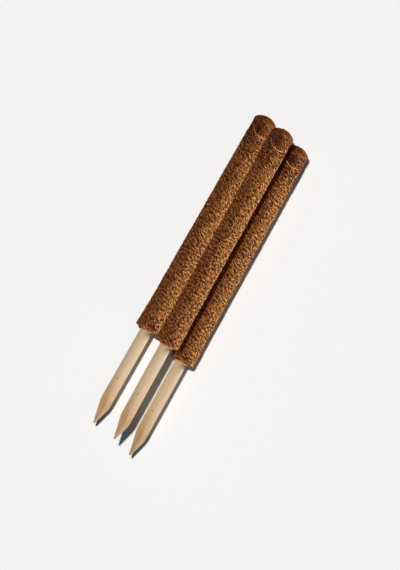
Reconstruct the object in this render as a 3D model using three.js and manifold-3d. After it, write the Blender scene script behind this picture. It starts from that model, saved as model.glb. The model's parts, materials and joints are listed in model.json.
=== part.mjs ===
// A set of three moss poles for climbing house plants, lying as they are laid out for sale:
// two on the floor side by side, and the third in the groove on top of them.
// Each pole is a pointed wooden stake with a coir mat rolled round it, closed by a domed coir cap.
// Units are millimetres, +Z is up and the floor is at z = 0. The poles point along +X, tips at -X.

import * as THREE from "three";
import { mergeVertices } from "three/addons/utils/BufferGeometryUtils.js";
import Module from "manifold-3d";

// Driving dimensions of one pole
const STAKE_DIAMETER = 14.4;
const STAKE_EXPOSED = 122.5; // from the sleeve's lower end down to the tip
const STAKE_TOP_CHAMFER = 1;
const POINT_LENGTH = 24; // along the ridges, from the round stake to the blunt tip
const TIP_WIDTH = 2;
const POINT_SIDES = 4;
const POINT_TURN = THREE.MathUtils.degToRad(10); // the whittled ridges are turned a little off square
const POINT_LEAN = THREE.MathUtils.degToRad(2.3); // the whittled faces are longer on one side of the point

const SLEEVE_DIAMETER = 28;
const SLEEVE_LENGTH = 256;
const SLEEVE_EDGE_RADIUS = 1.6; // worn outer edge at the lower end
const SEAM_WIDTH = 0.6; // where the two edges of the rolled mat meet

const CAP_SKIRT = 15; // straight part of the cap, below its dome
const CAP_RISE = 6.3;
const CAP_SOCKET = 12; // how far the stake reaches up into the cap

const STAPLE_CROWN = 9; // across the seam, outside to outside
const STAPLE_WIRE = 1.2;
const STAPLE_BITE = 2.7; // how deep the legs go into the wood
const STAPLE_CHISEL = 0.9; // length of the slanted leg ends
const STAPLE_SINK = 0.5; // the crown lies this far below the coir that is pressed flat
const STAPLE_FROM_END = 22; // first and last staple, from the sleeve's ends

// Driving dimensions of the layout
const NEST_ANGLE = THREE.MathUtils.degToRad(31.6); // from level, up from a lower axis to the top one
const LEFT_AHEAD = 4.2; // how far the left pole lies ahead of the top one
const RIGHT_BEHIND = 8.3;
const LEFT_SPLAY = THREE.MathUtils.degToRad(0.75); // the left pole's tip lies a little further out
const REST_FLAT = 0.5; // coir pressed flat where a pole lies on the floor

const CLEARANCE = 0.3; // between pieces that touch on the real object

const ROUND_SEGMENTS = 44;
const DOME_STEPS = 6;
const EDGE_STEPS = 3;

const stakeRadius = STAKE_DIAMETER / 2;
const sleeveRadius = SLEEVE_DIAMETER / 2;
const boreRadius = stakeRadius + CLEARANCE;
const capBottom = SLEEVE_LENGTH + CLEARANCE;
const stakeTop = capBottom + CAP_SOCKET;
const poleTop = capBottom + CAP_SKIRT + CAP_RISE;

// The staple is driven in from under the pole, with its crown across the seam.
const crownDepth = REST_FLAT + STAPLE_SINK;
const crownFace = -(sleeveRadius - crownDepth);
const legOffset = (STAPLE_CROWN - STAPLE_WIRE) / 2;
const woodFaceAtLeg = -Math.sqrt(stakeRadius ** 2 - legOffset ** 2);
const stapleLeg = woodFaceAtLeg + STAPLE_BITE - crownFace;
const staplePlaces = {
  lower: STAPLE_FROM_END,
  middle: SLEEVE_LENGTH / 2,
  upper: SLEEVE_LENGTH - STAPLE_FROM_END,
};

const coir = new THREE.MeshStandardMaterial({ color: 0x7c4a22, roughness: 0.95, metalness: 0 });
const capCoir = new THREE.MeshStandardMaterial({ color: 0x6b3e1d, roughness: 0.95, metalness: 0 });
const wood = new THREE.MeshStandardMaterial({ color: 0xd0b083, roughness: 0.7, metalness: 0 });
const steel = new THREE.MeshStandardMaterial({ color: 0xa9abad, roughness: 0.4, metalness: 1 });

const wasm = await Module();
wasm.setup();

// A closed three.js geometry as a solid that can be cut and joined.
function solidOf(geometry) {
  const bare = geometry.clone();
  bare.deleteAttribute("normal");
  bare.deleteAttribute("uv");
  const merged = mergeVertices(bare);
  const vertProperties = merged.attributes.position.array;
  const triVerts = new Uint32Array(merged.index.array);
  return new wasm.Manifold(new wasm.Mesh({ numProp: 3, vertProperties, triVerts }));
}

function geometryOf(solid) {
  const mesh = solid.getMesh();
  const geometry = new THREE.BufferGeometry();
  geometry.setAttribute("position", new THREE.BufferAttribute(mesh.vertProperties, 3));
  geometry.setIndex(new THREE.BufferAttribute(mesh.triVerts, 1));
  return geometry;
}

// A solid of revolution about the pole's axis, local Y. The profile is a list of [radius, height].
function turned(profile) {
  const points = profile.map(([radius, height]) => new THREE.Vector2(radius, height));
  return solidOf(new THREE.LatheGeometry(points, ROUND_SEGMENTS));
}

function block(width, length, height, x, y, z) {
  return solidOf(new THREE.BoxGeometry(width, length, height).translate(x, y, z));
}

// The profile of a worn lower edge, from the flat end out to the side.
function wornEdge(radius, edge) {
  return Array.from({ length: EDGE_STEPS + 1 }, (_, i) => {
    const angle = ((i / EDGE_STEPS) * Math.PI) / 2;
    return [radius - edge + edge * Math.sin(angle), edge - edge * Math.cos(angle)];
  });
}

// The profile of a low dome, part of a sphere, from its rim to the middle of its top.
function domeArc(radius, base, rise) {
  const sphere = (radius ** 2 + rise ** 2) / (2 * rise);
  const rimAngle = Math.asin(radius / sphere);
  return Array.from({ length: DOME_STEPS + 1 }, (_, i) => {
    const angle = rimAngle * (1 - i / DOME_STEPS);
    return [sphere * Math.sin(angle), base + rise - sphere * (1 - Math.cos(angle))];
  });
}

// The outline of a staple in its own plane, crown down, extruded along the pole.
// Grow widens it all round, and open lengthens the crown outwards, for the channel that it is driven into.
function stapleShape(grow, open) {
  const half = STAPLE_CROWN / 2 + grow;
  const inner = STAPLE_CROWN / 2 - STAPLE_WIRE - grow;
  const foot = crownFace - grow - open;
  const crownInside = crownFace + STAPLE_WIRE + grow;
  const legEnd = crownFace + stapleLeg + grow;
  const chiselStart = legEnd - STAPLE_CHISEL;
  const shape = new THREE.Shape();
  shape.moveTo(-half, foot);
  shape.lineTo(half, foot);
  shape.lineTo(half, legEnd);
  shape.lineTo(inner, chiselStart);
  shape.lineTo(inner, crownInside);
  shape.lineTo(-inner, crownInside);
  shape.lineTo(-inner, chiselStart);
  shape.lineTo(-half, legEnd);
  shape.closePath();
  const thickness = STAPLE_WIRE + 2 * grow;
  const extruded = new THREE.ExtrudeGeometry(shape, { depth: thickness, bevelEnabled: false });
  return extruded.translate(0, 0, -thickness / 2).rotateX(Math.PI / 2);
}

// The channels that the staples leave in the coir and in the wood.
function cutStapleChannels(solid) {
  const channel = stapleShape(CLEARANCE, crownDepth);
  return Object.values(staplePlaces).reduce(
    (left, height) => left.subtract(solidOf(channel.clone().translate(0, height, 0))),
    solid,
  );
}

// The strip along the underside that lies on the floor.
function pressFlat(solid) {
  const face = -(sleeveRadius - REST_FLAT);
  const depth = SLEEVE_DIAMETER;
  const length = 2 * poleTop;
  return solid.subtract(block(SLEEVE_DIAMETER, length, depth, 0, 0, face - depth / 2));
}

function makeStake() {
  const round = turned([
    [0, -STAKE_EXPOSED],
    [stakeRadius, -STAKE_EXPOSED],
    [stakeRadius, stakeTop - STAKE_TOP_CHAMFER],
    [stakeRadius - STAKE_TOP_CHAMFER, stakeTop],
    [0, stakeTop],
  ]);
  // A pyramid with the slope of the whittled ridges, tall enough to hold the whole stake.
  const height = STAKE_EXPOSED + stakeTop;
  const tipRadius = TIP_WIDTH / 2;
  const topRadius = tipRadius + ((stakeRadius - tipRadius) / POINT_LENGTH) * height;
  const pyramid = new THREE.CylinderGeometry(topRadius, tipRadius, height, POINT_SIDES);
  pyramid.rotateY(POINT_TURN).translate(0, height / 2, 0);
  pyramid.rotateZ(-POINT_LEAN).translate(0, -STAKE_EXPOSED, 0);
  return cutStapleChannels(round.intersect(solidOf(pyramid)));
}

function makeSleeve() {
  const mat = turned([
    [boreRadius, 0],
    ...wornEdge(sleeveRadius, SLEEVE_EDGE_RADIUS),
    [sleeveRadius, SLEEVE_LENGTH],
    [boreRadius, SLEEVE_LENGTH],
    [boreRadius, 0],
  ]);
  const seam = block(SEAM_WIDTH, 2 * poleTop, SLEEVE_DIAMETER, 0, 0, -sleeveRadius);
  return cutStapleChannels(mat.subtract(seam));
}

function makeCap() {
  const domeBase = capBottom + CAP_SKIRT;
  const socketTop = stakeTop + CLEARANCE;
  return turned([
    [0, socketTop],
    [boreRadius, socketTop],
    [boreRadius, capBottom],
    [sleeveRadius, capBottom],
    ...domeArc(sleeveRadius, domeBase, CAP_RISE),
  ]);
}

function named(name, geometry, material) {
  const mesh = new THREE.Mesh(geometry, material);
  mesh.name = name;
  return mesh;
}

// One pole along local +Y, with the middle of its sleeve's lower end at the origin and its seam at -Z.
function makePole(name, onFloor) {
  const pole = new THREE.Group();
  const soft = onFloor ? pressFlat : (solid) => solid;
  pole.add(named(`${name}_stake`, geometryOf(makeStake()), wood));
  pole.add(named(`${name}_coir_sleeve`, geometryOf(soft(makeSleeve())), coir));
  pole.add(named(`${name}_coir_cap`, geometryOf(soft(makeCap())), capCoir));
  for (const [place, height] of Object.entries(staplePlaces)) {
    const staple = named(`${name}_staple_${place}`, geometryOf(solidOf(stapleShape(0, 0))), steel);
    staple.position.y = height;
    pole.add(staple);
  }
  return pole;
}

// Lays a pole down with its axis along +X, turned by splay towards the middle of the set.
function layDown(pole, x, y, z, splay) {
  pole.position.set(x, y, z);
  pole.rotation.z = -Math.PI / 2 - splay;
  return pole;
}

const floorAxis = sleeveRadius - REST_FLAT;
const axisDistance = SLEEVE_DIAMETER + CLEARANCE;
const topAxis = floorAxis + axisDistance * Math.sin(NEST_ANGLE);
const sideways = axisDistance * Math.cos(NEST_ANGLE);
// The left pole comes closest to the top one at the top one's upper end.
const leftOffset = sideways / Math.cos(LEFT_SPLAY) + (poleTop - LEFT_AHEAD) * Math.tan(LEFT_SPLAY);

const set = new THREE.Group();
set.add(layDown(makePole("left", true), LEFT_AHEAD, leftOffset, floorAxis, LEFT_SPLAY));
set.add(layDown(makePole("middle", false), 0, 0, topAxis, 0));
set.add(layDown(makePole("right", true), -RIGHT_BEHIND, -sideways, floorAxis, 0));

// The origin is on the floor under the middle of the set.
set.updateMatrixWorld(true);
const middle = new THREE.Box3().setFromObject(set, true).getCenter(new THREE.Vector3());
set.position.set(-middle.x, -middle.y, 0);

const mossPoles = new THREE.Group();
mossPoles.add(set);

export default mossPoles;
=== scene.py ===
# %% [markdown]
# # Three coir moss poles
# Each pole is a pointed wooden stake in a sleeve of bonded coconut fibre, closed by a low dome of the
# same fibre. The solids come from the packed model and hold the sizes and the motion. This file gives
# them their looks: fibre by fibre for the coir, and grain, whittled faces and a knot for the wood.

# %% Load the packed model
import json
import math

import bmesh
import bpy
import numpy as np
from mathutils import Matrix, Vector


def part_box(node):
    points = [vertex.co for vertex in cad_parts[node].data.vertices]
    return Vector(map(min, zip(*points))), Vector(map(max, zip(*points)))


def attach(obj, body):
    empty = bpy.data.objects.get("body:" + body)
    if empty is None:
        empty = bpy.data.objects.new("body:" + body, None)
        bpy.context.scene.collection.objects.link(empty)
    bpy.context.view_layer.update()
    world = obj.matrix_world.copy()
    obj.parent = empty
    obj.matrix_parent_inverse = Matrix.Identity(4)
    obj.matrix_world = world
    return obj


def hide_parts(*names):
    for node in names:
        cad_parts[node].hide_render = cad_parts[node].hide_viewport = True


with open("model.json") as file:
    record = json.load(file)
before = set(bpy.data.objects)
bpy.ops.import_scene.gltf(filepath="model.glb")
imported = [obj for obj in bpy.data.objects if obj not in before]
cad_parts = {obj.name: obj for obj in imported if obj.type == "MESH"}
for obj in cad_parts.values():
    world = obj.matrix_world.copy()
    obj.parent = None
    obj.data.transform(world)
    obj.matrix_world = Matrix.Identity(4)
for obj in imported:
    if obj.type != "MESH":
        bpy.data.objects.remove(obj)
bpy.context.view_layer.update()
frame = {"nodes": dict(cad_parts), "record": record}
MM = 0.001


# %% [markdown]
# ## Where each pole lies
# A pole is easiest to model along its own axis and then to lay down whole. The model's mounts say where
# the sleeve's lower end is and which way it faces, so the place of a pole is read from there and never
# typed again. In a pole's own frame X runs from the point to the cap, Y to its left and Z up.

# %% Read the poles' places
POLES = ("left", "middle", "right")
UP = Vector((0, 0, 1))
seats = {mount["name"]: mount for mount in frame["record"]["mounts"]}


def pole_place(pole):
    """The matrix that lays a pole down, from the middle of its sleeve's lower end."""
    seat = seats[f"soil_seat_{pole}"]
    stake_low, stake_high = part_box(f"{pole}_stake")
    along = -Vector(seat["axis"]).normalized()
    left = UP.cross(along)
    turn = Matrix((along, left, UP)).transposed().to_4x4()
    middle = Vector((seat["pos_m"][0], seat["pos_m"][1], (stake_low.z + stake_high.z) / 2))
    return Matrix.Translation(middle) @ turn


places = {pole: pole_place(pole) for pole in POLES}
axis_height = {pole: places[pole].translation.z for pole in POLES}
print("axis heights in mm", {pole: round(height / MM, 1) for pole, height in axis_height.items()})

# %% Read a pole's sizes
stake_low, stake_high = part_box("middle_stake")
sleeve_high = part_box("middle_coir_sleeve")[1]
cap_low, cap_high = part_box("middle_coir_cap")
lower_end = places["middle"].translation.x
STAKE_RADIUS = (stake_high.z - stake_low.z) / 2
STAKE_EXPOSED = lower_end - stake_low.x
STAKE_TOP = stake_high.x - lower_end
POLE_RADIUS = (cap_high.z - cap_low.z) / 2
SLEEVE_LENGTH = sleeve_high.x - lower_end
CAP_START = cap_low.x - lower_end
POLE_TOP = cap_high.x - lower_end
print("pole radius", round(POLE_RADIUS / MM, 2), "mm, sleeve", round(SLEEVE_LENGTH / MM, 1), "mm long")

# %% [markdown]
# ## Wires
# Shader and geometry trees are sums, so they are written as sums. A Wire holds one socket, and each
# operator on it adds a Math node. Every other node comes from one method that takes its type, its
# settings and its sockets.


# %% The wire class
class Wire:
    """An output socket in a node tree, or only the tree when no socket is given."""

    def __init__(self, tree, socket=None):
        self.tree = tree
        self.socket = socket

    def node(self, kind, settings=None, sockets=None, output=0):
        """Adds a node, sets it up, fills its sockets with values or wires, and gives one output."""
        made = self.tree.nodes.new(kind)
        for name, value in (settings or {}).items():
            if name == "stops":
                ramp = made.color_ramp.elements
                while len(ramp) < len(value):
                    ramp.new(1)
                for stop, (position, colour) in zip(ramp, value):
                    stop.position = position
                    stop.color = (*colour, 1)
            else:
                setattr(made, name, value)
        for key, value in (sockets or {}).items():
            if isinstance(value, Wire):
                self.tree.links.new(value.socket, made.inputs[key])
            else:
                made.inputs[key].default_value = value
        return Wire(self.tree, made.outputs[output]) if made.outputs else made

    def out(self, name):
        """Another output of the same node."""
        return Wire(self.tree, self.socket.node.outputs[name])

    def maths(self, operation, *values):
        return self.node("ShaderNodeMath", {"operation": operation}, dict(enumerate(values)))

    def __add__(self, other):
        return self.maths("ADD", self, other)

    def __sub__(self, other):
        return self.maths("SUBTRACT", self, other)

    def __rsub__(self, other):
        return self.maths("SUBTRACT", other, self)

    def __mul__(self, other):
        return self.maths("MULTIPLY", self, other)

    def __truediv__(self, other):
        return self.maths("DIVIDE", self, other)

    def __neg__(self):
        return self * -1

    __radd__ = __add__
    __rmul__ = __mul__

    def sin(self):
        return self.maths("SINE", self)

    def cos(self):
        return self.maths("COSINE", self)

    def exp(self):
        return self.maths("EXPONENT", self)

    def sqrt(self):
        return self.maths("SQRT", self)

    def floor(self):
        return self.maths("FLOOR", self)

    def ceil(self):
        return self.maths("CEIL", self)

    def fract(self):
        return self.maths("FRACT", self)

    def least(self, other):
        return self.maths("MINIMUM", self, other)

    def most(self, other):
        return self.maths("MAXIMUM", self, other)

    def clipped(self):
        """The value, kept between 0 and 1."""
        return self.most(0.0).least(1.0)


print("a wire has", sum(callable(part) for part in vars(Wire).values()), "methods")

# %% [markdown]
# ## Colours
# Colours are written as the eye sees them, from 0 to 255, and turned to the linear values that shaders
# use.

# %% Colour helpers
SCREEN_FULL = 255
SCREEN_TOE = 0.04045  # below this the screen's curve is a straight line
SCREEN_TOE_SLOPE = 12.92
SCREEN_OFFSET = 0.055
SCREEN_POWER = 2.4
MIX_FACTOR = 0  # a Mix node has sockets for each kind of value, and these are for colours
MIX_FIRST = 6
MIX_SECOND = 7
MIX_RESULT = 2


def srgb(red, green, blue):
    """A linear colour from screen values."""
    screen = np.array((red, green, blue)) / SCREEN_FULL
    curved = ((screen + SCREEN_OFFSET) / (1 + SCREEN_OFFSET)) ** SCREEN_POWER
    linear = np.where(screen <= SCREEN_TOE, screen / SCREEN_TOE_SLOPE, curved)
    return tuple(float(value) for value in linear)


def new_material(name):
    """An empty material, its tree as a Wire, and its Principled shader."""
    material = bpy.data.materials.new(name)
    material.use_nodes = True
    tree = material.node_tree
    return material, Wire(tree), tree.nodes["Principled BSDF"]


def feed(wire, shader, socket):
    """Joins a wire to a shader's socket."""
    wire.tree.links.new(wire.socket, shader.inputs[socket])


def mixed(factor, first, second):
    """Two colours mixed by a factor."""
    ends = {MIX_FACTOR: factor}
    for socket, colour in ((MIX_FIRST, first), (MIX_SECOND, second)):
        ends[socket] = colour if isinstance(colour, Wire) else (*colour, 1)
    return factor.node("ShaderNodeMix", {"data_type": "RGBA"}, ends, output=MIX_RESULT)


print("tan in linear values", [round(value, 3) for value in srgb(200, 175, 142)])

# %% [markdown]
# ## The camera and the stage
# The poles were seen from straight above, so the camera looks down through a long lens, turned so that
# the poles climb to the upper right. They lie on a plain pale floor. The camera sees it nearly white,
# but the light that it throws back is made much weaker, so that the poles' sides keep their shade.

# %% Camera
IMAGE_WIDTH = 400
IMAGE_HEIGHT = 570
MM_PER_PIXEL = 1.132
LENS = 200
SENSOR = 36
FARTHEST_SEEN = 50
POLE_ANGLE = math.radians(61.05)  # the poles' direction in the picture, from level
LOWER_END_PIXEL = (166.6, 344.5)  # the middle of the top pole's sleeve, at its lower end

picture_right = Vector((math.cos(POLE_ANGLE), -math.sin(POLE_ANGLE), 0))
picture_up = Vector((math.sin(POLE_ANGLE), math.cos(POLE_ANGLE), 0))
right_by = (IMAGE_WIDTH / 2 - LOWER_END_PIXEL[0]) * MM_PER_PIXEL * MM
up_by = (LOWER_END_PIXEL[1] - IMAGE_HEIGHT / 2) * MM_PER_PIXEL * MM
aim = places["middle"].translation + picture_right * right_by + picture_up * up_by
distance = IMAGE_HEIGHT * MM_PER_PIXEL * MM * LENS / SENSOR

camera_data = bpy.data.cameras.new("camera")
camera_data.lens = LENS
camera_data.sensor_width = SENSOR
camera_data.clip_end = FARTHEST_SEEN
camera = bpy.data.objects.new("camera", camera_data)
turn = Matrix((picture_right, picture_up, UP)).transposed().to_4x4()
camera.matrix_world = Matrix.Translation(aim + UP * distance) @ turn
bpy.context.scene.collection.objects.link(camera)
bpy.context.scene.camera = camera
print("camera", round(distance, 2), "m above the top pole")

# %% Floor
FLOOR_COLOUR = srgb(243, 243, 243)
FLOOR_BOUNCE = srgb(70, 70, 70)  # what the poles get back from it
FLOOR_HALF = 6
FLOOR_ROUGHNESS = 0.9
NO_SHINE = 0.0


def seen_directly(wire):
    """1 where the camera sees a surface, straight or in metal or glass, and 0 for bounced light."""
    rays = wire.node("ShaderNodeLightPath")
    return rays.most(rays.out("Is Glossy Ray")).most(rays.out("Is Transmission Ray"))


floor_mesh = bpy.data.meshes.new("floor")
corners = [(-FLOOR_HALF, -FLOOR_HALF, 0), (FLOOR_HALF, -FLOOR_HALF, 0)]
corners += [(FLOOR_HALF, FLOOR_HALF, 0), (-FLOOR_HALF, FLOOR_HALF, 0)]
floor_mesh.from_pydata(corners, [], [(0, 1, 2, 3)])
floor = bpy.data.objects.new("floor", floor_mesh)
bpy.context.scene.collection.objects.link(floor)
floor_material, floor_wire, floor_shader = new_material("pale_floor")
feed(mixed(seen_directly(floor_wire), FLOOR_BOUNCE, FLOOR_COLOUR), floor_shader, "Base Color")
floor_shader.inputs["Roughness"].default_value = FLOOR_ROUGHNESS
floor_shader.inputs["Specular IOR Level"].default_value = NO_SHINE
floor_mesh.materials.append(floor_material)
print("floor", 2 * FLOOR_HALF, "m wide")

# %% World
WHITE = (1.0, 1.0, 1.0)
COOL_FILL = (0.9, 1.0, 1.2)  # keeps the shadows grey, where the poles throw warm light back
WORLD_LIGHT = 0.04
WORLD_SEEN = 0.88

world = bpy.data.worlds.new("studio")
world.use_nodes = True
bpy.context.scene.world = world
background = world.node_tree.nodes["Background"]
seen = seen_directly(Wire(world.node_tree))
feed(mixed(seen, COOL_FILL, WHITE), background, "Color")
feed(seen * (WORLD_SEEN - WORLD_LIGHT) + WORLD_LIGHT, background, "Strength")
print("world light", WORLD_LIGHT)

# %% [markdown]
# ## The lamps
# One set of lamps would have to suit the floor, the coir and the wood at once. Light linking gives the
# floor, each pole's coir and each stake lamps of their own, through collections of what a lamp lights
# and of what blocks it. The floor's main lamp draws the narrow shadow beside each pole, and a weak cool
# one keeps that shade grey. The coir has a warm lamp from the left and a stronger one low on the right.
# A stake's low lamp comes from the caps' end, so that the sleeve shades the wood next to it.

# %% What each lamp lights
lit_floor = bpy.data.collections.new("lit_floor")
pole_stake = {pole: bpy.data.collections.new(f"{pole}_lit_stake") for pole in POLES}
pole_coir = {pole: bpy.data.collections.new(f"{pole}_coir") for pole in POLES}
lower_right_coir = bpy.data.collections.new("middle_and_right_coir")
lit_floor.objects.link(floor)


def light_coir(piece, pole):
    """Puts a piece of coir, or a staple in it, in reach of the lamps of its pole."""
    pole_coir[pole].objects.link(piece)
    if pole != "left":
        lower_right_coir.objects.link(piece)


print("collections for lamps:", 2 + len(pole_stake) + len(pole_coir))


# %% Floor lamps
def sun(name, receivers, toward, power, spread, blockers=None, tint=WHITE):
    """A distant lamp, its spread in degrees, that shines from one direction on one collection."""
    data = bpy.data.lights.new(name, "SUN")
    data.energy = power
    data.color = tint
    data.angle = math.radians(spread)
    made = bpy.data.objects.new(name, data)
    direction = toward.normalized()
    made.location = direction
    made.rotation_euler = direction.to_track_quat("Z", "Y").to_euler()
    made.light_linking.receiver_collection = receivers
    made.light_linking.blocker_collection = blockers
    bpy.context.scene.collection.objects.link(made)
    print(name, "power", power)


SHADOW_RIGHT = 0.16  # how far a shadow falls to the right and down the picture, for a height of one
SHADOW_DOWN = 0.31
FLOOR_TINT = (0.994, 0.97, 0.95)
SHADE_FILL = (0.0, 0.62, 1.0)  # what the floor's shade lacks, because the poles throw warm light on it
floor_light = UP - picture_right * SHADOW_RIGHT + picture_up * SHADOW_DOWN
sun("floor_lamp", lit_floor, floor_light, power=3.24, spread=4, tint=FLOOR_TINT)
sun("floor_fill_lamp", lit_floor, UP, power=0.077, spread=60, blockers=lit_floor, tint=SHADE_FILL)

# %% Lamps of the poles
WARM_SHADE = (1.0, 0.86, 0.78)
GOLDEN = (0.96, 1.0, 0.9)
STAKE_WARM = (1.0, 0.98, 0.94)
STAKE_COOL = (0.93, 1.0, 1.1)
LEFT_LEAN = {"left": -29, "middle": -29, "right": -36}  # the right pole lies in the top one's shade
SIDE_LEAN = 77
STAKE_LEAN = -20
STAKE_POWER = {"left": 2.45, "middle": 2.45, "right": 2.2}  # the middle stake lights the right one too
STAKE_SIDE_LEVEL = 0.7  # shares of the direction of a stake's low lamp: level both ways, and up
STAKE_SIDE_RISE = 0.09

across = Vector((0, -1, 0))
to_caps = Vector((1, 0, 0))
from_caps = to_caps * STAKE_SIDE_LEVEL + across * STAKE_SIDE_LEVEL + UP * STAKE_SIDE_RISE


def leaning(degrees):
    """A direction so far from overhead, to the right of the poles or, below zero, to their left."""
    return UP * math.cos(math.radians(degrees)) + across * math.sin(math.radians(degrees))


for pole in POLES:
    coir = pole_coir[pole]
    wood = pole_stake[pole]
    beside = lower_right_coir if pole == "middle" else coir
    from_left = leaning(LEFT_LEAN[pole])
    from_right = leaning(SIDE_LEAN)
    above_stake = leaning(STAKE_LEAN)
    stake_power = STAKE_POWER[pole]
    sun(f"{pole}_left_lamp", coir, from_left, power=1.75, spread=2, tint=WARM_SHADE)
    sun(f"{pole}_side_lamp", coir, from_right, power=6.5, spread=12, blockers=beside, tint=GOLDEN)
    sun(f"{pole}_stake_left_lamp", wood, above_stake, power=stake_power, spread=4, tint=STAKE_WARM)
    sun(f"{pole}_stake_side_lamp", wood, from_caps, power=5.8, spread=30, blockers=coir, tint=STAKE_COOL)

# %% [markdown]
# ## The coir's surface
# A coir sleeve is never a true cylinder: it is a little fuller where the mat was cut, and it wavers
# along its length. One function gives its radius, and it takes numbers for the mat below and wires for
# the fibres on top, so that the fibres follow the mat exactly.

# %% Surface radius
FIBRE_PILE = 0.9 * MM  # how thick the layer of loose fibres is
STRAY_RISE = 0.35 * MM  # room for strands that stand above it
MAT_RADIUS = POLE_RADIUS - STRAY_RISE - FIBRE_PILE
FLARE = 0.9 * MM  # extra radius at the cut lower end
FLARE_LENGTH = 24 * MM
WAVER = 0.08 * MM
WAVES = [  # radians per metre along the pole, times round it, phase, and share of the waver
    (61, 1.0, 0.0, 1.0),
    (143, 2.0, 1.3, 1.0),
    (310, -3.0, 0.4, 0.6),
]
STAPLE_DENT = 0.9 * MM  # how deep a staple presses the mat, on the underside
STAPLE_REACH = 3.5 * MM
STAPLE_NARROW = 4  # how soon the dent ends round the pole

staple_boxes = [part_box(f"middle_staple_{place}") for place in ("lower", "middle", "upper")]
staple_heights = [(low.x + high.x) / 2 - lower_end for low, high in staple_boxes]


def mat_radius(along, turn, maths):
    """The mat's radius at a place along the pole and a turn about it."""
    radius = maths.exp(-(along / FLARE_LENGTH) * (along / FLARE_LENGTH)) * FLARE
    for per_metre, times_round, phase, share in WAVES:
        radius = radius + maths.sin(along * per_metre + turn * times_round + phase) * (WAVER * share)
    radius = radius + MAT_RADIUS
    underside = maths.exp((maths.cos(turn) + 1) * -STAPLE_NARROW) * STAPLE_DENT
    for height in staple_heights:
        away = (along - height) / STAPLE_REACH
        radius = radius - maths.exp(-away * away) * underside
    return radius


class WireMaths:
    """The functions of numpy that the coir's shape uses, on wires."""

    sin = staticmethod(Wire.sin)
    cos = staticmethod(Wire.cos)
    exp = staticmethod(Wire.exp)
    minimum = staticmethod(Wire.least)
    maximum = staticmethod(Wire.most)


stations = np.linspace(0, SLEEVE_LENGTH, 6)
print("mat radius in mm:", np.round(mat_radius(stations, stations * 0, np) / MM, 2))

# %% [markdown]
# ## Pieces
# Every piece is made in its pole's own frame. Its mesh is then laid down with the pole, so that the
# object itself stays at the origin, and it rides on that pole's body.

# %% Piece helpers
SAME_POINT = 1e-7  # points nearer to each other than this, in metres, are one


def lay_down(mesh, name, pole, slot):
    """Makes a piece of a mesh that lies in a pole's own frame."""
    mesh.transform(places[pole])
    mesh.name = name
    piece = bpy.data.objects.new(name, mesh)
    bpy.context.scene.collection.objects.link(piece)
    if slot == "wood":
        pole_stake[pole].objects.link(piece)
    else:
        light_coir(piece, pole)
    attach(piece, f"{pole}_pole")
    return piece


def closed_mesh(name, points, faces, material, sharp_degrees):
    """A closed mesh whose faces point outwards, smooth but for its sharper edges."""
    mesh = bpy.data.meshes.new(name)
    mesh.from_pydata([tuple(point) for point in points], [], faces)
    shaped = bmesh.new()
    shaped.from_mesh(mesh)
    bmesh.ops.remove_doubles(shaped, verts=shaped.verts, dist=SAME_POINT)
    bmesh.ops.recalc_face_normals(shaped, faces=shaped.faces)
    shaped.to_mesh(mesh)
    shaped.free()
    mesh.polygons.foreach_set("use_smooth", [True] * len(mesh.polygons))
    mesh.set_sharp_from_angle(angle=math.radians(sharp_degrees))
    mesh.materials.append(material)
    return mesh


def ring_points(along, radius, turns):
    """Points round the axis, at one place along the pole."""
    return np.stack((turns * 0 + along, radius * np.sin(turns), radius * np.cos(turns)), 1)


def ring_faces(rows, columns):
    """The faces between rows of closed rings."""
    faces = []
    for row in range(rows - 1):
        for column in range(columns):
            following = (column + 1) % columns
            here = row * columns
            above = here + columns
            faces.append((here + column, here + following, above + following, above + column))
    return faces


print("two rings of four points have", len(ring_faces(2, 4)), "faces between them")

# %% Shader helpers
NOISE_ROUGHNESS = 0.55
STEEP = 1e6  # a height times this, kept between 0 and 1, is a step


def local_coordinates(wire, pole):
    """Object coordinates, turned and moved to a pole's own frame."""
    inverse = places[pole].inverted()
    spot = {"Location": inverse.translation, "Rotation": inverse.to_euler()}
    spot["Vector"] = wire.node("ShaderNodeTexCoord", output="Object")
    return wire.node("ShaderNodeMapping", {"vector_type": "POINT"}, spot)


def stretched_noise(place, scale, detail):
    """Noise from 0 to 1, with a scale for each axis, per metre."""
    spread = place.node("ShaderNodeVectorMath", {"operation": "MULTIPLY"}, {0: place, 1: scale})
    sockets = {"Vector": spread, "Scale": 1.0, "Detail": detail, "Roughness": NOISE_ROUGHNESS}
    return place.node("ShaderNodeTexNoise", {}, sockets)


def ramp(value, stops):
    """A colour from a value, through evenly mixed stops."""
    return value.node("ShaderNodeValToRGB", {"stops": stops}, {"Fac": value})


def soft_spot(spot, along, left, half_length, half_width):
    """1 at a place on the upper side of a pole, fading to 0 round it."""
    ahead = (spot - along) / half_length
    aside = (spot.out("Y") - left) / half_width
    upper_side = (spot.out("Z") * STEEP).clipped()
    return (-(ahead * ahead + aside * aside)).exp() * upper_side


def bump(height, shader, strength, depth):
    """Raises a shader's surface by a height from 0 to 1."""
    sockets = {"Strength": strength, "Distance": depth, "Height": height}
    feed(height.node("ShaderNodeBump", {}, sockets), shader, "Normal")


print("shader helpers ready for", len(POLES), "poles")

# %% [markdown]
# ## The coir mat
# Under the loose fibres the sleeve is a felt: coconut fibre bonded with latex. Its dark colour is
# painted shade for the gaps between the strands, where little light gets in. It is one closed C-shaped
# wall, because a flat mat was rolled round the stake and its two edges meet along the underside. Three
# staples press small hollows there, and the floor presses the mat flat where a pole lies on it.

# %% Felt finish
# the felt's dark tones are painted shade for the gaps between the loose fibres
FELT_SHADE_TONES = [(0.42, srgb(34, 17, 7)), (0.58, srgb(74, 40, 18)), (0.74, srgb(108, 64, 30))]
FELT_ALONG = (260, 900, 900)  # the scales of streaks that run along the pole, and of those across it
FELT_ACROSS = (900, 300, 300)
FELT_DETAIL = 3
FELT_ROUGHNESS = 0.95
FELT_POLISH = 0.2  # how much smoother the streaks are
FELT_SHINE = 0.25
FELT_DEPTH = 0.6 * MM


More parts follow.
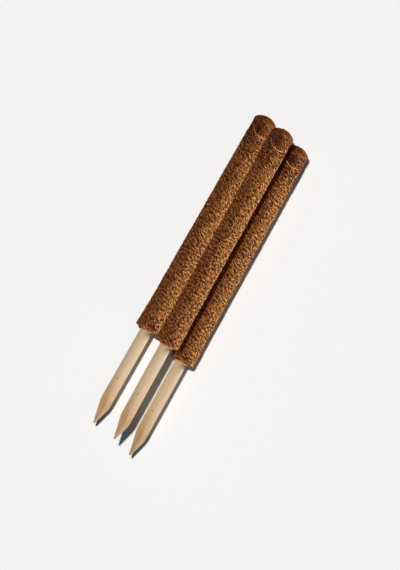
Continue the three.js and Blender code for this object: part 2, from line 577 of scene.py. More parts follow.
def felt_material(pole):
    """Bonded fibre, coloured dark as painted shade for the gaps between strands: short streaks that run
    every way, with latex between.
    """
    material, wire, shader = new_material(f"{pole}_coir_felt")
    place = local_coordinates(wire, pole)
    streaks_along = stretched_noise(place, FELT_ALONG, FELT_DETAIL)
    streaks_across = stretched_noise(place, FELT_ACROSS, FELT_DETAIL)
    streaks = streaks_along.most(streaks_across)
    feed(ramp(streaks, FELT_SHADE_TONES), shader, "Base Color")
    feed(FELT_ROUGHNESS - streaks * FELT_POLISH, shader, "Roughness")
    shader.inputs["Specular IOR Level"].default_value = FELT_SHINE
    bump(streaks, shader, strength=0.8, depth=FELT_DEPTH)
    return material


felts = {pole: felt_material(pole) for pole in POLES}
print("felt materials", [material.name for material in felts.values()])

# %% Squeeze on the floor
PRESS = 0.8 * MM  # coir that is nearer to the floor than this is squeezed
FAR_BELOW = -1.0  # the top pole lies on the other two, so no floor squeezes it
floor_level = {pole: FAR_BELOW if pole == "middle" else -axis_height[pole] for pole in POLES}


def pressed(height, level, maths):
    """A height in a pole's own frame, squeezed near the floor, so that what lay higher stays higher."""
    over_press = (height - level) / PRESS - 1
    squeezed = maths.exp(maths.minimum(over_press, 0.0)) + maths.maximum(over_press, 0.0)
    return squeezed * PRESS + level


def on_floor(rings, pole):
    """The points of all rings of a piece, squeezed where they are near the floor."""
    points = np.concatenate(rings)
    points[:, 2] = pressed(points[:, 2], floor_level[pole], np)
    return points


lowest = pressed(-MAT_RADIUS, floor_level["left"], np)
print("the left mat stops", round((lowest - floor_level["left"]) / MM, 2), "mm above the floor")

# %% Rolled mat
FIT_GAP = 0.3 * MM  # between the stake and the coir round it
BORE_RADIUS = STAKE_RADIUS + FIT_GAP
SEAM_HALF = 0.3 * MM
MAT_ROWS = 150
MAT_COLUMNS = 88
EVEN_FROM = 6 * MM  # where the even rows start, past those of the rounded edge
EDGE_ROUND = 0.4 * MM
EDGE_ROWS = EDGE_ROUND * np.array((0, 0.12, 0.4, 1.0))
EDGE_INSETS = EDGE_ROUND * np.array((0.9, 0.5, 0.15, 0))


def mat_mesh(pole):
    """The rolled mat, from its lower end to the cap."""
    seam = SEAM_HALF / MAT_RADIUS
    turns = np.linspace(-math.pi + seam, math.pi - seam, MAT_COLUMNS)
    rows = np.concatenate((EDGE_ROWS, np.linspace(EVEN_FROM, SLEEVE_LENGTH, MAT_ROWS)))
    insets = np.concatenate((EDGE_INSETS, np.zeros(MAT_ROWS)))
    rings = []
    for row, inset in zip(rows, insets):
        rings.append(ring_points(row, mat_radius(row, turns, np) - inset, turns))
        rings.append(ring_points(row, BORE_RADIUS, turns[::-1]))
    ring = 2 * MAT_COLUMNS
    faces = ring_faces(len(rows), ring)
    for start in (0, (len(rows) - 1) * ring):
        for column in range(MAT_COLUMNS - 1):
            inner = ring - 1 - column
            faces.append((start + column, start + column + 1, start + inner - 1, start + inner))
    return closed_mesh("mat", on_floor(rings, pole), faces, felts[pole], sharp_degrees=50)


for pole in POLES:
    mat = lay_down(mat_mesh(pole), f"{pole}_sleeve_mat", pole, "coir")
    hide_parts(f"{pole}_coir_sleeve")
    print(mat.name, len(mat.data.polygons), "faces")

# %% [markdown]
# ## The cap's pad
# A rolled mat ends in an open ring, so a domed pad of the same felt closes it. It is a turned shape
# with a socket for the stake's end, which a profile swept round the axis gives at once.

# %% Domed pad
CAP_SKIRT = 15 * MM  # the straight part of the cap, below its dome
PAD_COLUMNS = 72
PAD_SKIRT_ROWS = 10
PAD_DOME_ROWS = 14

dome_rise = POLE_TOP - CAP_START - CAP_SKIRT
dome_radius = (POLE_RADIUS**2 + dome_rise**2) / (2 * dome_rise)
dome_centre = POLE_TOP - dome_radius
pad_dome = dome_radius - FIBRE_PILE
pad_rim = math.asin(MAT_RADIUS / pad_dome)
pad_shoulder = dome_centre + pad_dome * math.cos(pad_rim)


def pad_mesh(pole):
    """The domed pad: socket, lower ring, skirt, shoulder and dome."""
    socket_top = STAKE_TOP + FIT_GAP
    tilts = np.linspace(pad_rim, 0, PAD_DOME_ROWS)
    skirt = np.linspace(SLEEVE_LENGTH, pad_shoulder, PAD_SKIRT_ROWS)[:-1]
    turns = np.arange(PAD_COLUMNS) * math.tau / PAD_COLUMNS
    profile = [(socket_top, 0), (socket_top, BORE_RADIUS), (SLEEVE_LENGTH, BORE_RADIUS)]
    profile += [(row, mat_radius(row, turns, np)) for row in skirt]
    profile += [(dome_centre + pad_dome * math.cos(tilt), pad_dome * math.sin(tilt)) for tilt in tilts]
    rings = [ring_points(row, radius, turns) for row, radius in profile]
    faces = ring_faces(len(rings), PAD_COLUMNS)
    return closed_mesh("pad", on_floor(rings, pole), faces, felts[pole], sharp_degrees=40)


for pole in POLES:
    pad = lay_down(pad_mesh(pole), f"{pole}_cap_pad", pole, "coir_cap")
    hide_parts(f"{pole}_coir_cap")
    print(pad.name, len(pad.data.polygons), "faces")

# %% [markdown]
# ## The coir fibres
# What the eye sees of a coir pole is thousands of stiff, curly strands that cross each other, most of
# them combed one way. Hair would not export, and a texture has no rim, so each strand is a thin three-
# sided rod from a Geometry Nodes tree. The finish reads a tone that the tree stores on each strand,
# mottles it, darkens it towards the cap and adds a few dark spots.

# %% Fibre finish
FIBRE_TONES = [
    (0.0, srgb(46, 20, 8)),
    (0.3, srgb(110, 58, 27)),
    (0.65, srgb(166, 100, 49)),
    (1.0, srgb(220, 160, 98)),
]
MOTTLE_SCALE = (1100, 1100, 1100)
PATCH_SCALE = (90, 90, 90)
NOISE_DETAIL = 2
NOISE_MIDDLE = 0.5
MOTTLE = 0.4  # how far the mottle and the patches change a strand's tone
PATCHES = 0.06
FIBRE_ROUGHNESS = 0.85
FIBRE_POLISH = 0.2  # how much smoother the pale strands are
FIBRE_SHINE = 0.12
DARKER_FROM = 222 * MM  # towards the cap the coir is darker, and from the second height on it stays so
DARKER_TO = 248 * MM
DARKER_BY = 0.24
# the first and the last spot darken the sleeve's right side near its lower end
DARK_SPOTS = [  # dark spots: along the pole, left of its axis, half width, depth
    (4.8 * MM, -2.4 * MM, 3.0 * MM, 0.5),
    (132 * MM, 5.8 * MM, 1.8 * MM, 0.4),
    (pad_shoulder - 11 * MM, 1.3 * MM, 3.8 * MM, 0.5),
    (3.0 * MM, -7.5 * MM, 5.0 * MM, 0.25),
]


def fibre_material(pole):
    """Dry coir: a tone of its own for each strand, mottled along it, with a few dark spots."""
    material, wire, shader = new_material(f"{pole}_coir_fibre")
    tone = wire.node("ShaderNodeAttribute", {"attribute_name": "tone"}, output="Fac")
    place = local_coordinates(wire, pole)
    spot = wire.node("ShaderNodeSeparateXYZ", {}, {0: place})
    mottle = stretched_noise(place, MOTTLE_SCALE, NOISE_DETAIL)
    patches = stretched_noise(place, PATCH_SCALE, NOISE_DETAIL)
    to_cap = ((spot - DARKER_FROM) / (DARKER_TO - DARKER_FROM)).clipped()
    value = tone + (mottle - NOISE_MIDDLE) * MOTTLE + (patches - NOISE_MIDDLE) * PATCHES
    value = value - to_cap * DARKER_BY
    for along, left, half_width, depth in DARK_SPOTS:
        value = value - soft_spot(spot, along, left, half_width, half_width) * depth
    feed(ramp(value, FIBRE_TONES), shader, "Base Color")
    feed(FIBRE_ROUGHNESS - tone * FIBRE_POLISH, shader, "Roughness")
    shader.inputs["Specular IOR Level"].default_value = FIBRE_SHINE
    return material


coir_fibres = {pole: fibre_material(pole) for pole in POLES}
print("fibre materials with", len(FIBRE_TONES), "tones and", len(DARK_SPOTS), "tufts")

# %% [markdown]
# ## The flat map
# A strand is easiest to bend on a flat sheet, so the tree works on a map in metres: along the pole and
# round it, or across a disc. Starts drawn by chance alone leave bare patches, so a rule spreads them
# evenly and chance only moves them a little. A wrap then lays the map on the sleeve, the dome, the cut
# end or the stake, and folds it over their edges.

# %% Where strands start
EVEN_STEPS = (0.7548777, 0.5698403)  # multiples of these, less their whole parts, fill a square evenly
JITTER = 1.5 * MM


def even(given, low, high, step):
    """A value for each strand between two ends, so spread that strands don't crowd."""
    number = given.node("GeometryNodeInputIndex") + given.out("Seed")
    return low + (number * EVEN_STEPS[step]).fract() * (high - low)


def on_tube(given, draw):
    """A start anywhere between two heights, round the whole girth."""
    half = given.out("Half girth")
    along = even(given, given.out("Start"), given.out("End"), 0)
    return along + draw(-JITTER, JITTER), even(given, -half, half, 1) + draw(-JITTER, JITTER)


def on_disc(given, draw):
    """A start anywhere between two radii."""
    inner = given.out("Start") * given.out("Start")
    outer = given.out("End") * given.out("End")
    radius = even(given, inner, outer, 0).sqrt()
    angle = even(given, 0.0, math.tau, 1)
    return radius * angle.cos() + draw(-JITTER, JITTER), radius * angle.sin() + draw(-JITTER, JITTER)


print("starts are moved by up to", JITTER / MM, "mm each way")

# %% What strands lie on
QUARTER_TURN = math.pi / 2
SEAM_MARGIN = 0.5 * MM
EDGE_TURN = 0.5 * MM  # a strand that runs over an edge has turned after this
END_SINK = 0.8  # how much flatter the strands lie that are folded over the cut end
NO_ZERO = 1e-6  # keeps a division by a radius safe


def beyond(distance):
    """How far a strand is past an edge, and from 0 to 1 how far it has turned over it."""
    past = distance.most(0.0)
    return past, (past / EDGE_TURN).least(1.0)


def wrap_tube(given, u, v, side_u, side_v, height):
    """Wraps the flat map on the sleeve and the cap's skirt, and folds it over both ends."""
    most = math.pi * POLE_RADIUS - SEAM_MARGIN
    u = u + side_u
    turn = (v.most(-most).least(most) + side_v) / POLE_RADIUS
    below, turned_below = beyond(-u)
    above, turned_above = beyond(u - pad_shoulder)
    along = u + below - above
    tilt = pad_rim - above / pad_dome
    lean = turned_above * (QUARTER_TURN - pad_rim) - turned_below * QUARTER_TURN
    height = height * (1 - turned_below * END_SINK)
    radius = mat_radius(along, turn, WireMaths) - below + tilt.sin() * pad_dome - MAT_RADIUS
    along = along + tilt.cos() * pad_dome - math.cos(pad_rim) * pad_dome + lean.sin() * height
    radius = radius + lean.cos() * height
    return along, radius * turn.sin(), radius * turn.cos()


def wrap_dome(given, u, v, side_u, side_v, height):
    """Wraps the flat map on the dome, and folds it over the shoulder."""
    u = u + side_u
    v = v + side_v
    reach = (u * u + v * v).sqrt() + NO_ZERO
    past, turned = beyond(reach - pad_dome * pad_rim)
    tilt = (reach - past) / pad_dome
    lean = tilt + turned * (QUARTER_TURN - pad_rim)
    along = tilt.cos() * pad_dome + dome_centre - past + lean.cos() * height
    radius = tilt.sin() * pad_dome + lean.sin() * height
    return along, radius * u / reach, radius * v / reach


def wrap_end(given, u, v, side_u, side_v, height):
    """Lays the flat map on the sleeve's cut lower end, and folds it up over the rim."""
    u = u + side_u
    v = v + side_v
    reach = (u * u + v * v).sqrt() + NO_ZERO
    past, turned = beyond(reach - given.out("End"))
    lean = turned * QUARTER_TURN
    radius = reach.most(given.out("Start")) - past + lean.sin() * height
    along = past - lean.cos() * height
    return along, radius * v / reach, radius * u / reach


def wrap_stake(given, u, v, side_u, side_v, height):
    """Wraps the flat map round the stake, just below the sleeve."""
    u = u.most(given.out("Start")).least(given.out("End")) + side_u
    turn = (v + side_v) / STAKE_RADIUS
    radius = height + STAKE_RADIUS
    return u, radius * turn.sin(), radius * turn.cos()


print("four wraps: tube, dome, end, stake")

# %% [markdown]
# ## The strand tree
# A strand starts as one point that carries the numbers of its strand. A straight rod is put on each
# point, made real, and then bent along an arc by those numbers. The square root of an even draw makes
# pale strands more common than dark ones, as they are on the outside of real coir. Each strand also
# gets a cell of one flat UV map, which the export's bake needs.

# %% What each strand draws
TONE_TURNS = 3  # dark, middle and pale strands take turns, so that no patch is all of one tone
WIDTH_SHARES = (0.7, 1.25)
RANDOM_LOW = 2  # a Random Value node has sockets for each kind of value, and these are for floats
RANDOM_HIGH = 3
RANDOM_SEED = 8
RANDOM_RESULT = 1


def drawing(given):
    """A function that draws a number for each strand, with a seed of its own at each call."""
    draws = []

    def draw(low, high):
        draws.append(low)
        sockets = {RANDOM_LOW: low, RANDOM_HIGH: high, RANDOM_SEED: given.out("Seed") + len(draws)}
        settings = {"data_type": "FLOAT"}
        return given.node("FunctionNodeRandomValue", settings, sockets, output=RANDOM_RESULT)

    return draw


def between(given, low, high, share):
    """A value between two inputs of the tree."""
    return given.out(low) + share * (given.out(high) - given.out(low))


def drawn_values(given, scatter):
    """Where a strand starts, how it runs, how thick and how pale it is."""
    draw = drawing(given)
    start_u, start_v = scatter(given, draw)
    level = draw(0.0, 1.0)
    number = given.node("GeometryNodeInputIndex")
    paleness = (number / TONE_TURNS).fract() + draw(0.0, 1 / TONE_TURNS)
    return {
        "start_u": start_u,
        "start_v": start_v,
        "heading": given.out("Heading") + draw(-given.out("Spread"), given.out("Spread")),
        "curl": draw(-given.out("Curl"), given.out("Curl")),
        "span": draw(given.out("Shortest"), given.out("Longest")),
        "width": given.out("Width") * draw(*WIDTH_SHARES),
        "level": between(given, "Lowest", "Highest", level),
        "phase": draw(0.0, math.tau),
        "tone": between(given, "Darkest", "Palest", paleness.sqrt()),
        "number": number,
    }


print("strands are", WIDTH_SHARES[0], "to", WIDTH_SHARES[1], "times as wide as their layer says")

# %% How a strand bends
WAVE_TURN = 5  # how far a strand's small wave turns from its middle to its end, in radians
WAVE_ASIDE = 0.25 * MM
WAVE_UP = 0.1 * MM
TAPER = 0.75  # how much thinner a strand is at its ends
CELL_MARGIN = 0.05  # what a strand's map leaves free of its cell at each side


def known(given, label, kind="FLOAT"):
    """A value that was stored under a name."""
    return given.node("GeometryNodeInputNamedAttribute", {"data_type": kind}, {"Name": label})


def bent_place(given, wrap):
    """Where a point of a straight rod goes, once the rod is bent along its arc and wrapped."""
    spot = given.node("ShaderNodeSeparateXYZ", {}, {0: given.node("GeometryNodeInputPosition")})
    share = spot.out("Z") * 2  # from -1 at one end of the rod to 1 at the other
    to_end = share * share * share * share
    curl = known(given, "curl")
    begun = known(given, "heading")
    heading = begun + curl * (spot.out("Z") * known(given, "span"))
    u = known(given, "start_u") + (heading.sin() - begun.sin()) / curl
    v = known(given, "start_v") - (heading.cos() - begun.cos()) / curl
    wave = (share * WAVE_TURN + known(given, "phase")).sin()
    thickness = (1 - to_end * TAPER) * known(given, "width")
    side = spot.out("X") * thickness + wave * WAVE_ASIDE
    height = known(given, "level") + spot.out("Y") * thickness + wave * WAVE_UP
    height = height - to_end * given.out("Dip")
    x, y, z = wrap(given, u, v, -(heading.sin() * side), heading.cos() * side, height)
    z = pressed(z, given.out("Floor"), WireMaths)
    return given.node("ShaderNodeCombineXYZ", {}, {"X": x, "Y": y, "Z": z})


def flat_map(given):
    """A map with a square cell for each strand, in which the rod's own map lies."""
    columns = given.out("Strands").sqrt().ceil()
    row = (known(given, "number") / columns).floor()
    column = known(given, "number") - row * columns
    on_rod = given.node("ShaderNodeSeparateXYZ", {}, {0: known(given, "rod_map", "FLOAT_VECTOR")})
    inside = 1 - 2 * CELL_MARGIN
    x = (column + CELL_MARGIN + on_rod * inside) / columns
    y = (row + CELL_MARGIN + on_rod.out("Y") * inside) / columns
    return given.node("ShaderNodeCombineXYZ", {}, {"X": x, "Y": y})


print("strands taper by", TAPER)

# %% The strand tree
STRAND_SIDES = 3
STRAND_SEGMENTS = 5
STRAND_NUMBERS = ["Start", "End", "Half girth", "Shortest", "Longest", "Width", "Lowest", "Highest"]
STRAND_NUMBERS += ["Heading", "Spread", "Curl", "Dip", "Darkest", "Palest", "Floor"]
STRAND_INPUTS = {"Strands": "NodeSocketInt", "Seed": "NodeSocketInt"}
STRAND_INPUTS.update({label: "NodeSocketFloat" for label in STRAND_NUMBERS})
STRAND_INPUTS["Material"] = "NodeSocketMaterial"


def stored(geometry, label, value, kind="FLOAT", domain="POINT"):
    """Geometry with a value stored on it under a name."""
    settings = {"data_type": kind, "domain": domain}
    sockets = {"Geometry": geometry, "Name": label, "Value": value}
    return geometry.node("GeometryNodeStoreNamedAttribute", settings, sockets)


def strand_tree(name, scatter, wrap):
    """A tree that strews curly strands on a surface."""
    tree = bpy.data.node_groups.new(name, "GeometryNodeTree")
    for label, kind in STRAND_INPUTS.items():
        tree.interface.new_socket(label, in_out="INPUT", socket_type=kind)
    tree.interface.new_socket("Geometry", in_out="OUTPUT", socket_type="NodeSocketGeometry")
    given = Wire(tree).node("NodeGroupInput")

    drawn = drawn_values(given, scatter)
    strands = given.node("GeometryNodePoints", {}, {"Count": given.out("Strands")})
    for label, value in drawn.items():
        strands = stored(strands, label, value)

    one_rod = {"Vertices": STRAND_SIDES, "Side Segments": STRAND_SEGMENTS, "Radius": 0.5, "Depth": 1.0}
    rod = given.node("GeometryNodeMeshCylinder", {"fill_type": "NGON"}, one_rod)
    rod = stored(rod, "rod_map", rod.out("UV Map"), "FLOAT_VECTOR", "CORNER")
    strands = given.node("GeometryNodeInstanceOnPoints", {}, {"Points": strands, "Instance": rod})
    strands = given.node("GeometryNodeRealizeInstances", {}, {"Geometry": strands})
    bent = {"Geometry": strands, "Position": bent_place(given, wrap)}
    strands = given.node("GeometryNodeSetPosition", {}, bent)
    strands = stored(strands, "OFBake", flat_map(given), "FLOAT2", "CORNER")

    for label in (*drawn, "rod_map"):
        if label != "tone":
            strands = given.node("GeometryNodeRemoveAttribute", {}, {"Geometry": strands, "Name": label})
    strands = given.node("GeometryNodeSetShadeSmooth", {}, {"Geometry": strands})
    dressed = {"Geometry": strands, "Material": given.out("Material")}
    strands = given.node("GeometryNodeSetMaterial", {}, dressed)
    given.node("NodeGroupOutput", {}, {0: strands})
    return tree


trees = {
    "tube": strand_tree("strands_on_tube", on_tube, wrap_tube),
    "dome": strand_tree("strands_on_dome", on_disc, wrap_dome),
    "end": strand_tree("strands_on_end", on_disc, wrap_end),
    "stake": strand_tree("strands_on_stake", on_tube, wrap_stake),
}
print("strand trees:", {name: len(tree.nodes) for name, tree in trees.items()}, "nodes")

# %% [markdown]
# ## The layers
# A sleeve shows strands below, paler ones that cross them, short dark flecks, stray hairs, a rim of
# strands round each end and golden strands that close it round the stake. The strands below take darker
# tones as painted shade for the depth of the pile, and the dark flecks on top are painted shade for the
# gaps where little light gets in. Every layer is one piece from the same trees with other inputs, so
# each can be changed alone.

# %% Sorts of strands
COMBED = math.radians(67)  # which way most strands lie, from the pole's axis towards its left
ROUND_THE_POLE = QUARTER_TURN
common = {
    "Half girth": math.pi * POLE_RADIUS,
    "Shortest": 5 * MM,
    "Longest": 10 * MM,
    "Width": 0.8 * MM,
    "Lowest": 0.0,
    "Highest": 0.4 * MM,
    "Heading": COMBED,
    "Spread": math.radians(30),
    "Curl": 70.0,
    "Dip": 0.35 * MM,
    # the strands below take these darker tones: painted shade for the depth of the pile
    "Darkest": 0.1,
    "Palest": 0.65,
}
short = {"Shortest": 3 * MM, "Longest": 6 * MM}
over = {"Lowest": 0.3 * MM, "Highest": 0.8 * MM, "Darkest": -0.2, "Palest": 1.25, "Width": 0.75 * MM}
# dark flecks: short dark rods laid on top, painted shade for the gaps between the strands
flecks = {"Shortest": 1.8 * MM, "Longest": 3.2 * MM, "Width": 0.85 * MM}
flecks.update({"Lowest": 0.6 * MM, "Highest": 0.9 * MM, "Darkest": -0.3, "Palest": 0.0})
hairs = {"Lowest": 0.8 * MM, "Highest": 1.4 * MM, "Width": 0.3 * MM, "Dip": -0.4 * MM}
rim = {**over, "Heading": ROUND_THE_POLE, "Spread": math.radians(12), "Curl": 40.0, "Dip": 0.1 * MM}
cap_tones = {"Darkest": -0.3, "Palest": 1.0}
print("most strands lie", round(math.degrees(COMBED)), "degrees from the axis")

# %% Layers of fibres
sleeve = {"Start": 0.0, "End": SLEEVE_LENGTH}
cut_end = {**short, "Start": BORE_RADIUS, "End": MAT_RADIUS + FLARE - EDGE_ROUND}
cut_end.update({"Spread": math.pi, "Palest": 0.7})
cut_rim = {**rim, "Start": 1.0 * MM, "End": 2.2 * MM, "Spread": math.radians(28), "Palest": 1.1}
collar = {**over, **short, "Start": -1.9 * MM, "End": 0.0, "Half girth": math.pi * STAKE_RADIUS}
collar.update({"Lowest": 0.2 * MM, "Heading": ROUND_THE_POLE, "Spread": math.radians(15)})
collar.update({"Darkest": 0.7, "Palest": 1.15})
skirt = {**over, **short, **cap_tones, "Start": CAP_START, "End": pad_shoulder, "Lowest": 0.0}
shoulder_rim = {**rim, **cap_tones, "Start": pad_shoulder - 1.8 * MM, "End": pad_shoulder - 1.4 * MM}
dome = {**over, **short, **cap_tones, "Start": 0.0, "End": pad_dome * pad_rim}
dome.update({"Lowest": 0.0, "Spread": math.pi})
LAYERS = [
    ("sleeve_fibres_under", "tube", "coir", {**sleeve, "Strands": 5600, "Seed": 100}),
    ("sleeve_fibres_over", "tube", "coir", {**sleeve, **over, **short, "Strands": 6000, "Seed": 200}),
    ("sleeve_dark_flecks", "tube", "coir", {**sleeve, **flecks, "Strands": 3200, "Seed": 250}),
    ("sleeve_stray_fibres", "tube", "coir", {**sleeve, **over, **hairs, "Strands": 70, "Seed": 300}),
    ("sleeve_end_fibres", "end", "coir", {**cut_end, "Strands": 220, "Seed": 400}),
    ("sleeve_rim_fibres", "tube", "coir", {**cut_rim, "Strands": 130, "Seed": 450}),
    ("sleeve_collar_fibres", "stake", "coir", {**collar, "Strands": 70, "Seed": 500}),
    ("cap_skirt_fibres", "tube", "coir_cap", {**skirt, "Strands": 560, "Seed": 600}),
    ("cap_rim_fibres", "tube", "coir_cap", {**shoulder_rim, "Strands": 110, "Seed": 650}),
    ("cap_dome_fibres", "dome", "coir_cap", {**dome, "Strands": 600, "Seed": 700}),
]
print("a pole has", sum(inputs["Strands"] for *_, inputs in LAYERS), "strands")

# %% Strew the strands
SEEDS_APART = 1000  # from pole to pole, so that no two poles look the same


def strewn(tree, inputs):
    """The plain mesh that a strand tree gives for these inputs."""
    holder = bpy.data.objects.new("strands", bpy.data.meshes.new("strands"))
    bpy.context.scene.collection.objects.link(holder)
    modifier = holder.modifiers.new("strands", "NODES")
    modifier.node_group = tree
    for item in tree.interface.items_tree:
        if item.in_out == "INPUT":
            modifier[item.identifier] = inputs[item.name]
    made = holder.evaluated_get(bpy.context.evaluated_depsgraph_get())
    mesh = bpy.data.meshes.new_from_object(made)
    holder.modifiers.remove(modifier)
    bpy.data.objects.remove(holder)
    return mesh


for number, pole in enumerate(POLES):
    for title, tree, slot, inputs in LAYERS:
        chosen = {**common, **inputs, "Floor": floor_level[pole], "Material": coir_fibres[pole]}
        chosen["Seed"] = inputs["Seed"] + SEEDS_APART * number
        piece = lay_down(strewn(trees[tree], chosen), f"{pole}_{title}", pole, slot)
        print(piece.name, len(piece.data.polygons), "faces")

# %% [markdown]
# ## The loop on the cap and the fan on the sleeve
# Two places of a pole have strands that the eye picks out. One thicker, paler fibre lies in an arc
# across the front of the cap, and half way down the sleeve a few strands fan out from a dark tuft.
# There are too few for a tree that strews them, so each is swept one by one: a line on the flat map,
# five points round each step, wrapped on the coir as the strands are.

# %% Laid rods
ROD_STEPS = 32
ROD_SIDES = 5
ROD_LYING = MAT_RADIUS + FIBRE_PILE
ROD_BLUNT = 0.1  # a rod's taper is half a sine wave, less this much in radians at each end


def laid_rod(u, v, thickness):
    """The points of a tapered rod along a line on the flat map."""
    ahead = np.stack((np.gradient(u), np.gradient(v)), 1)
    ahead /= np.linalg.norm(ahead, axis=1, keepdims=True)
    half = thickness / 2 * np.sqrt(np.sin(np.linspace(ROD_BLUNT, math.pi - ROD_BLUNT, ROD_STEPS)))
    round_rod = np.arange(ROD_SIDES) * math.tau / ROD_SIDES
    rings = []
    for step in range(ROD_STEPS):
        aside = half[step] * np.cos(round_rod)
        radius = ROD_LYING + half[step] * np.sin(round_rod)
        turn = (v[step] + ahead[step, 0] * aside) / ROD_LYING
        rings.append(ring_points(u[step] - ahead[step, 1] * aside, radius, turn))
    return np.concatenate(rings)


def rods_mesh(rods, tones, pole):
    """A mesh of closed rods, each of its own tone."""
    last = (ROD_STEPS - 1) * ROD_SIDES
    one_rod = ring_faces(ROD_STEPS, ROD_SIDES)
    one_rod += [tuple(range(ROD_SIDES)), tuple(range(last, last + ROD_SIDES))]
    faces = []
    for number in range(len(rods)):
        first = number * ROD_STEPS * ROD_SIDES
        faces += [tuple(first + corner for corner in face) for face in one_rod]
    mesh = closed_mesh("rods", np.concatenate(rods), faces, coir_fibres[pole], sharp_degrees=60)
    point_tones = np.repeat(tones, ROD_STEPS * ROD_SIDES)
    mesh.attributes.new("tone", "FLOAT", "POINT").data.foreach_set("value", point_tones)
    return mesh


print("rods of", ROD_STEPS * ROD_SIDES, "points")

# %% Loop fibre
LOOP_RADIUS = 13.6 * MM
LOOP_RIGHT = 3.6 * MM  # the arc's middle, right of the pole's axis and below the shoulder
LOOP_BELOW = 5.3 * MM
LOOP_ENDS = (math.radians(200), math.radians(303))
LOOP_THICK = 0.95 * MM
LOOP_TONE = 1.2

loop_bearings = np.linspace(*LOOP_ENDS, ROD_STEPS)
loop_u = pad_shoulder - LOOP_BELOW + LOOP_RADIUS * np.sin(loop_bearings)
loop_v = -ROD_LYING * np.arcsin((LOOP_RIGHT + LOOP_RADIUS * np.cos(loop_bearings)) / ROD_LYING)
for pole in POLES:
    loop_rod = laid_rod(loop_u, loop_v, LOOP_THICK)
    loop_mesh = rods_mesh([loop_rod], [LOOP_TONE], pole)
    loop = lay_down(loop_mesh, f"{pole}_cap_loop_fibre", pole, "coir_cap")
    print(loop.name, len(loop.data.polygons), "faces")

# %% Fan of strands
FAN_TUFT = DARK_SPOTS[1]  # the tuft that the fan leaves
FAN_ALONG = FAN_TUFT[0]
FAN_LEFT = ROD_LYING * math.asin(FAN_TUFT[1] / ROD_LYING)
# the strands of tone 0.0 between the pale ones are dark rods, painted shade for the gaps between them
FAN = [  # bearing in degrees, length in mm, tone
    (206, 11, 0.95),
    (216, 12, 0.0),
    (225, 12, 1.0),
    (235, 10, 0.0),
    (244, 8, 1.0),
    (254, 7, 0.0),
    (264, 7, 0.9),
]
FAN_BEND = math.radians(14)  # each strand turns so far along its length
FAN_ROOT = 3 * MM
FAN_THICK = 0.8 * MM


def fan_rod(bearing_degrees, length_mm):
    """A strand that leaves the dark tuft."""
    share = np.linspace(0, 1, ROD_STEPS)
    bearing = math.radians(bearing_degrees) + FAN_BEND * (share - 0.5)
    reach = FAN_ROOT + share * length_mm * MM
    return laid_rod(FAN_ALONG + reach * np.cos(bearing), FAN_LEFT + reach * np.sin(bearing), FAN_THICK)


for pole in POLES:
    fan_rods = [fan_rod(bearing, length) for bearing, length, tone in FAN]
    fan_tones = [tone for bearing, length, tone in FAN]
    fan = lay_down(rods_mesh(fan_rods, fan_tones, pole), f"{pole}_sleeve_fan_fibres", pole, "coir")
    print(fan.name, len(fan.data.polygons), "faces")

# %% [markdown]
# ## The stakes
# A stake is a turned softwood stick, whittled to a point by four flat cuts that lean a little to one
# side. Its grain is noise stretched along the stick, which runs through the cuts as real grain does.
# Rings of points follow the cuts: each point lies as far out as the nearer of the round stick and the
# flat cut in its direction. The rings are close together at the point, where the cuts meet the round.

# %% Wood finish
WOOD_TONES = [(0.32, srgb(176, 142, 102)), (0.52, srgb(204, 178, 142)), (0.72, srgb(226, 207, 177))]
BAND_SCALE = (5, 150, 150)  # broad bands, grain and pores, all drawn out along the stick
GRAIN_SCALE = (9, 520, 520)
PORE_SCALE = (60, 2400, 2400)
GRAIN_DETAIL = 4
BAND_SHARE = 0.5  # how much of the wood's tone the bands, the grain and the pores give
GRAIN_SHARE = 0.4
PORE_SHARE = 0.2
TONE_SHIFT = -0.05
WOOD_ROUGHNESS = 0.62
GRAIN_ROUGHNESS = 0.2
WOOD_SHINE = 0.3
GRAIN_RELIEF = 0.6
PORE_RELIEF = 0.4
WOOD_DEPTH = 0.3 * MM
# towards the point the wood is mixed to this warmer, darker brown
WOOD_POINT = srgb(187, 144, 96)
WARM_FROM = 66 * MM  # towards the point the wood is warmer, and it stays so after the second length
WARM_LENGTH = 26 * MM
WARM_BY = 0.65
KNOT_BROWN = srgb(128, 84, 48)
KNOT_ALONG = -65 * MM  # the small knot, from the sleeve's lower end and left of the axis
KNOT_LEFT = 1.7 * MM
KNOT_LENGTH = 1.3 * MM
KNOT_WIDTH = 1.0 * MM
KNOT_DEPTH = 0.6


def wood_material(pole):
    """Pale softwood: long grain, warmer and darker towards the point, and one small knot."""
    material, wire, shader = new_material(f"{pole}_stake_wood")
    place = local_coordinates(wire, pole)
    spot = wire.node("ShaderNodeSeparateXYZ", {}, {0: place})
    bands = stretched_noise(place, BAND_SCALE, NOISE_DETAIL)
    grain = stretched_noise(place, GRAIN_SCALE, GRAIN_DETAIL)
    pores = stretched_noise(place, PORE_SCALE, NOISE_DETAIL)
    colour = ramp(bands * BAND_SHARE + grain * GRAIN_SHARE + pores * PORE_SHARE + TONE_SHIFT, WOOD_TONES)
    to_point = ((-spot - WARM_FROM) / WARM_LENGTH).clipped()
    colour = mixed(to_point * WARM_BY, colour, WOOD_POINT)
    knot = soft_spot(spot, KNOT_ALONG, KNOT_LEFT, KNOT_LENGTH, KNOT_WIDTH)
    colour = mixed(knot * KNOT_DEPTH, colour, KNOT_BROWN)
    feed(colour, shader, "Base Color")
    feed(WOOD_ROUGHNESS + grain * GRAIN_ROUGHNESS, shader, "Roughness")
    shader.inputs["Specular IOR Level"].default_value = WOOD_SHINE
    bump(grain * GRAIN_RELIEF + pores * PORE_RELIEF, shader, strength=0.35, depth=WOOD_DEPTH)
    return material


woods = {pole: wood_material(pole) for pole in POLES}
print("wood materials", [material.name for material in woods.values()])

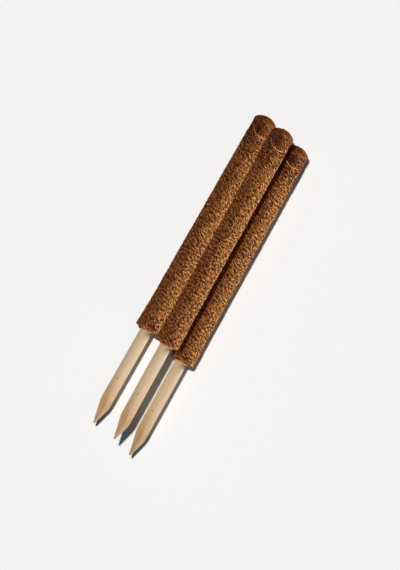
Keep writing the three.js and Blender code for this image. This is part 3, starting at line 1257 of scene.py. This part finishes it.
# %% Whittled sticks
POINT_LENGTH = 24 * MM
TIP_RADIUS = 1 * MM
CUTS = 4
CUT_TURN = math.radians(10)
CUT_LEAN = math.radians(2.3)
LEAN_END = 34 * MM  # past the cuts, the middle of the rings comes back to the stick's axis
TOP_CHAMFER = 1 * MM
STAKE_COLUMNS = 96
POINT_ROWS = 72
POINT_ROWS_END = 1.3 * LEAN_END
SHAFT_ROWS = 40
SHAFT_ROWS_START = 50 * MM


def stake_ring(along):
    """One ring of the stick, so far from its tip."""
    directions = CUT_TURN + np.arange(STAKE_COLUMNS) * math.tau / STAKE_COLUMNS
    right = math.tan(CUT_LEAN) * (along if along < LEAN_END else max(2 * LEAN_END - along, 0))
    out_right = np.sin(directions)
    out_up = np.cos(directions)
    ahead = right * out_right
    round_reach = -ahead + np.sqrt(ahead**2 - right**2 + STAKE_RADIUS**2)
    ridge = TIP_RADIUS + (STAKE_RADIUS - TIP_RADIUS) * along / POINT_LENGTH
    to_cut = (directions - CUT_TURN) % (math.tau / CUTS) - math.pi / CUTS
    cut_reach = ridge * math.cos(math.pi / CUTS) / np.cos(to_cut)
    reach = np.minimum(round_reach, cut_reach)
    row = np.full(STAKE_COLUMNS, along - STAKE_EXPOSED)
    return np.stack((row, -(right + reach * out_right), reach * out_up), 1)


def stake_mesh(pole):
    """The whole stick, from its blunt tip to the end in the cap's socket."""
    length = STAKE_EXPOSED + STAKE_TOP
    point_rows = np.linspace(0, POINT_ROWS_END, POINT_ROWS)
    shaft_rows = np.linspace(SHAFT_ROWS_START, length - TOP_CHAMFER, SHAFT_ROWS)
    rings = [stake_ring(row) for row in np.concatenate((point_rows, shaft_rows))]
    top = stake_ring(length)
    top[:, 1:] *= 1 - TOP_CHAMFER / STAKE_RADIUS
    rings.append(top)
    faces = ring_faces(len(rings), STAKE_COLUMNS)
    last = (len(rings) - 1) * STAKE_COLUMNS
    faces.append(tuple(range(STAKE_COLUMNS)))
    faces.append(tuple(range(last, last + STAKE_COLUMNS)))
    return closed_mesh("stake", np.concatenate(rings), faces, woods[pole], sharp_degrees=24)


for pole in POLES:
    stake = lay_down(stake_mesh(pole), f"{pole}_whittled_stake", pole, "wood")
    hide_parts(f"{pole}_stake")
    print(stake.name, len(stake.data.polygons), "faces")

# %% [markdown]
# ## The staples
# Galvanised wire staples hold the mat's seam to the stake. Their solids are right as they are, so they
# keep them and get only a finish: dull zinc with a faint spangle.

# %% Zinc finish
ZINC_TONES = [(0.35, srgb(92, 94, 96)), (0.65, srgb(136, 138, 140))]
ZINC_SCALE = (700, 700, 700)
ZINC_DETAIL = 3
ZINC_ROUGHNESS = 0.45
ZINC_CLOUDS = 0.25  # how much rougher its pale clouds are
ZINC_DEPTH = 0.1 * MM


def zinc_material():
    """Galvanised wire: cloudy grey metal with brighter flecks."""
    material, wire, shader = new_material("staple_zinc")
    place = wire.node("ShaderNodeTexCoord", output="Object")
    cloud = stretched_noise(place, ZINC_SCALE, ZINC_DETAIL)
    feed(ramp(cloud, ZINC_TONES), shader, "Base Color")
    feed(ZINC_ROUGHNESS + cloud * ZINC_CLOUDS, shader, "Roughness")
    shader.inputs["Metallic"].default_value = 1.0
    bump(cloud, shader, strength=0.2, depth=ZINC_DEPTH)
    return material


zinc = zinc_material()
staples = [node for name, node in frame["nodes"].items() if "staple" in name]
for staple in staples:
    staple.data.materials.clear()
    staple.data.materials.append(zinc)
    light_coir(staple, staple.name.split("_")[0])
print(len(staples), "staples in zinc")

# %% [markdown]
# ## Finish
# The picture keeps plain colours.

# %% Plain colours
bpy.context.scene.view_settings.view_transform = "Standard"
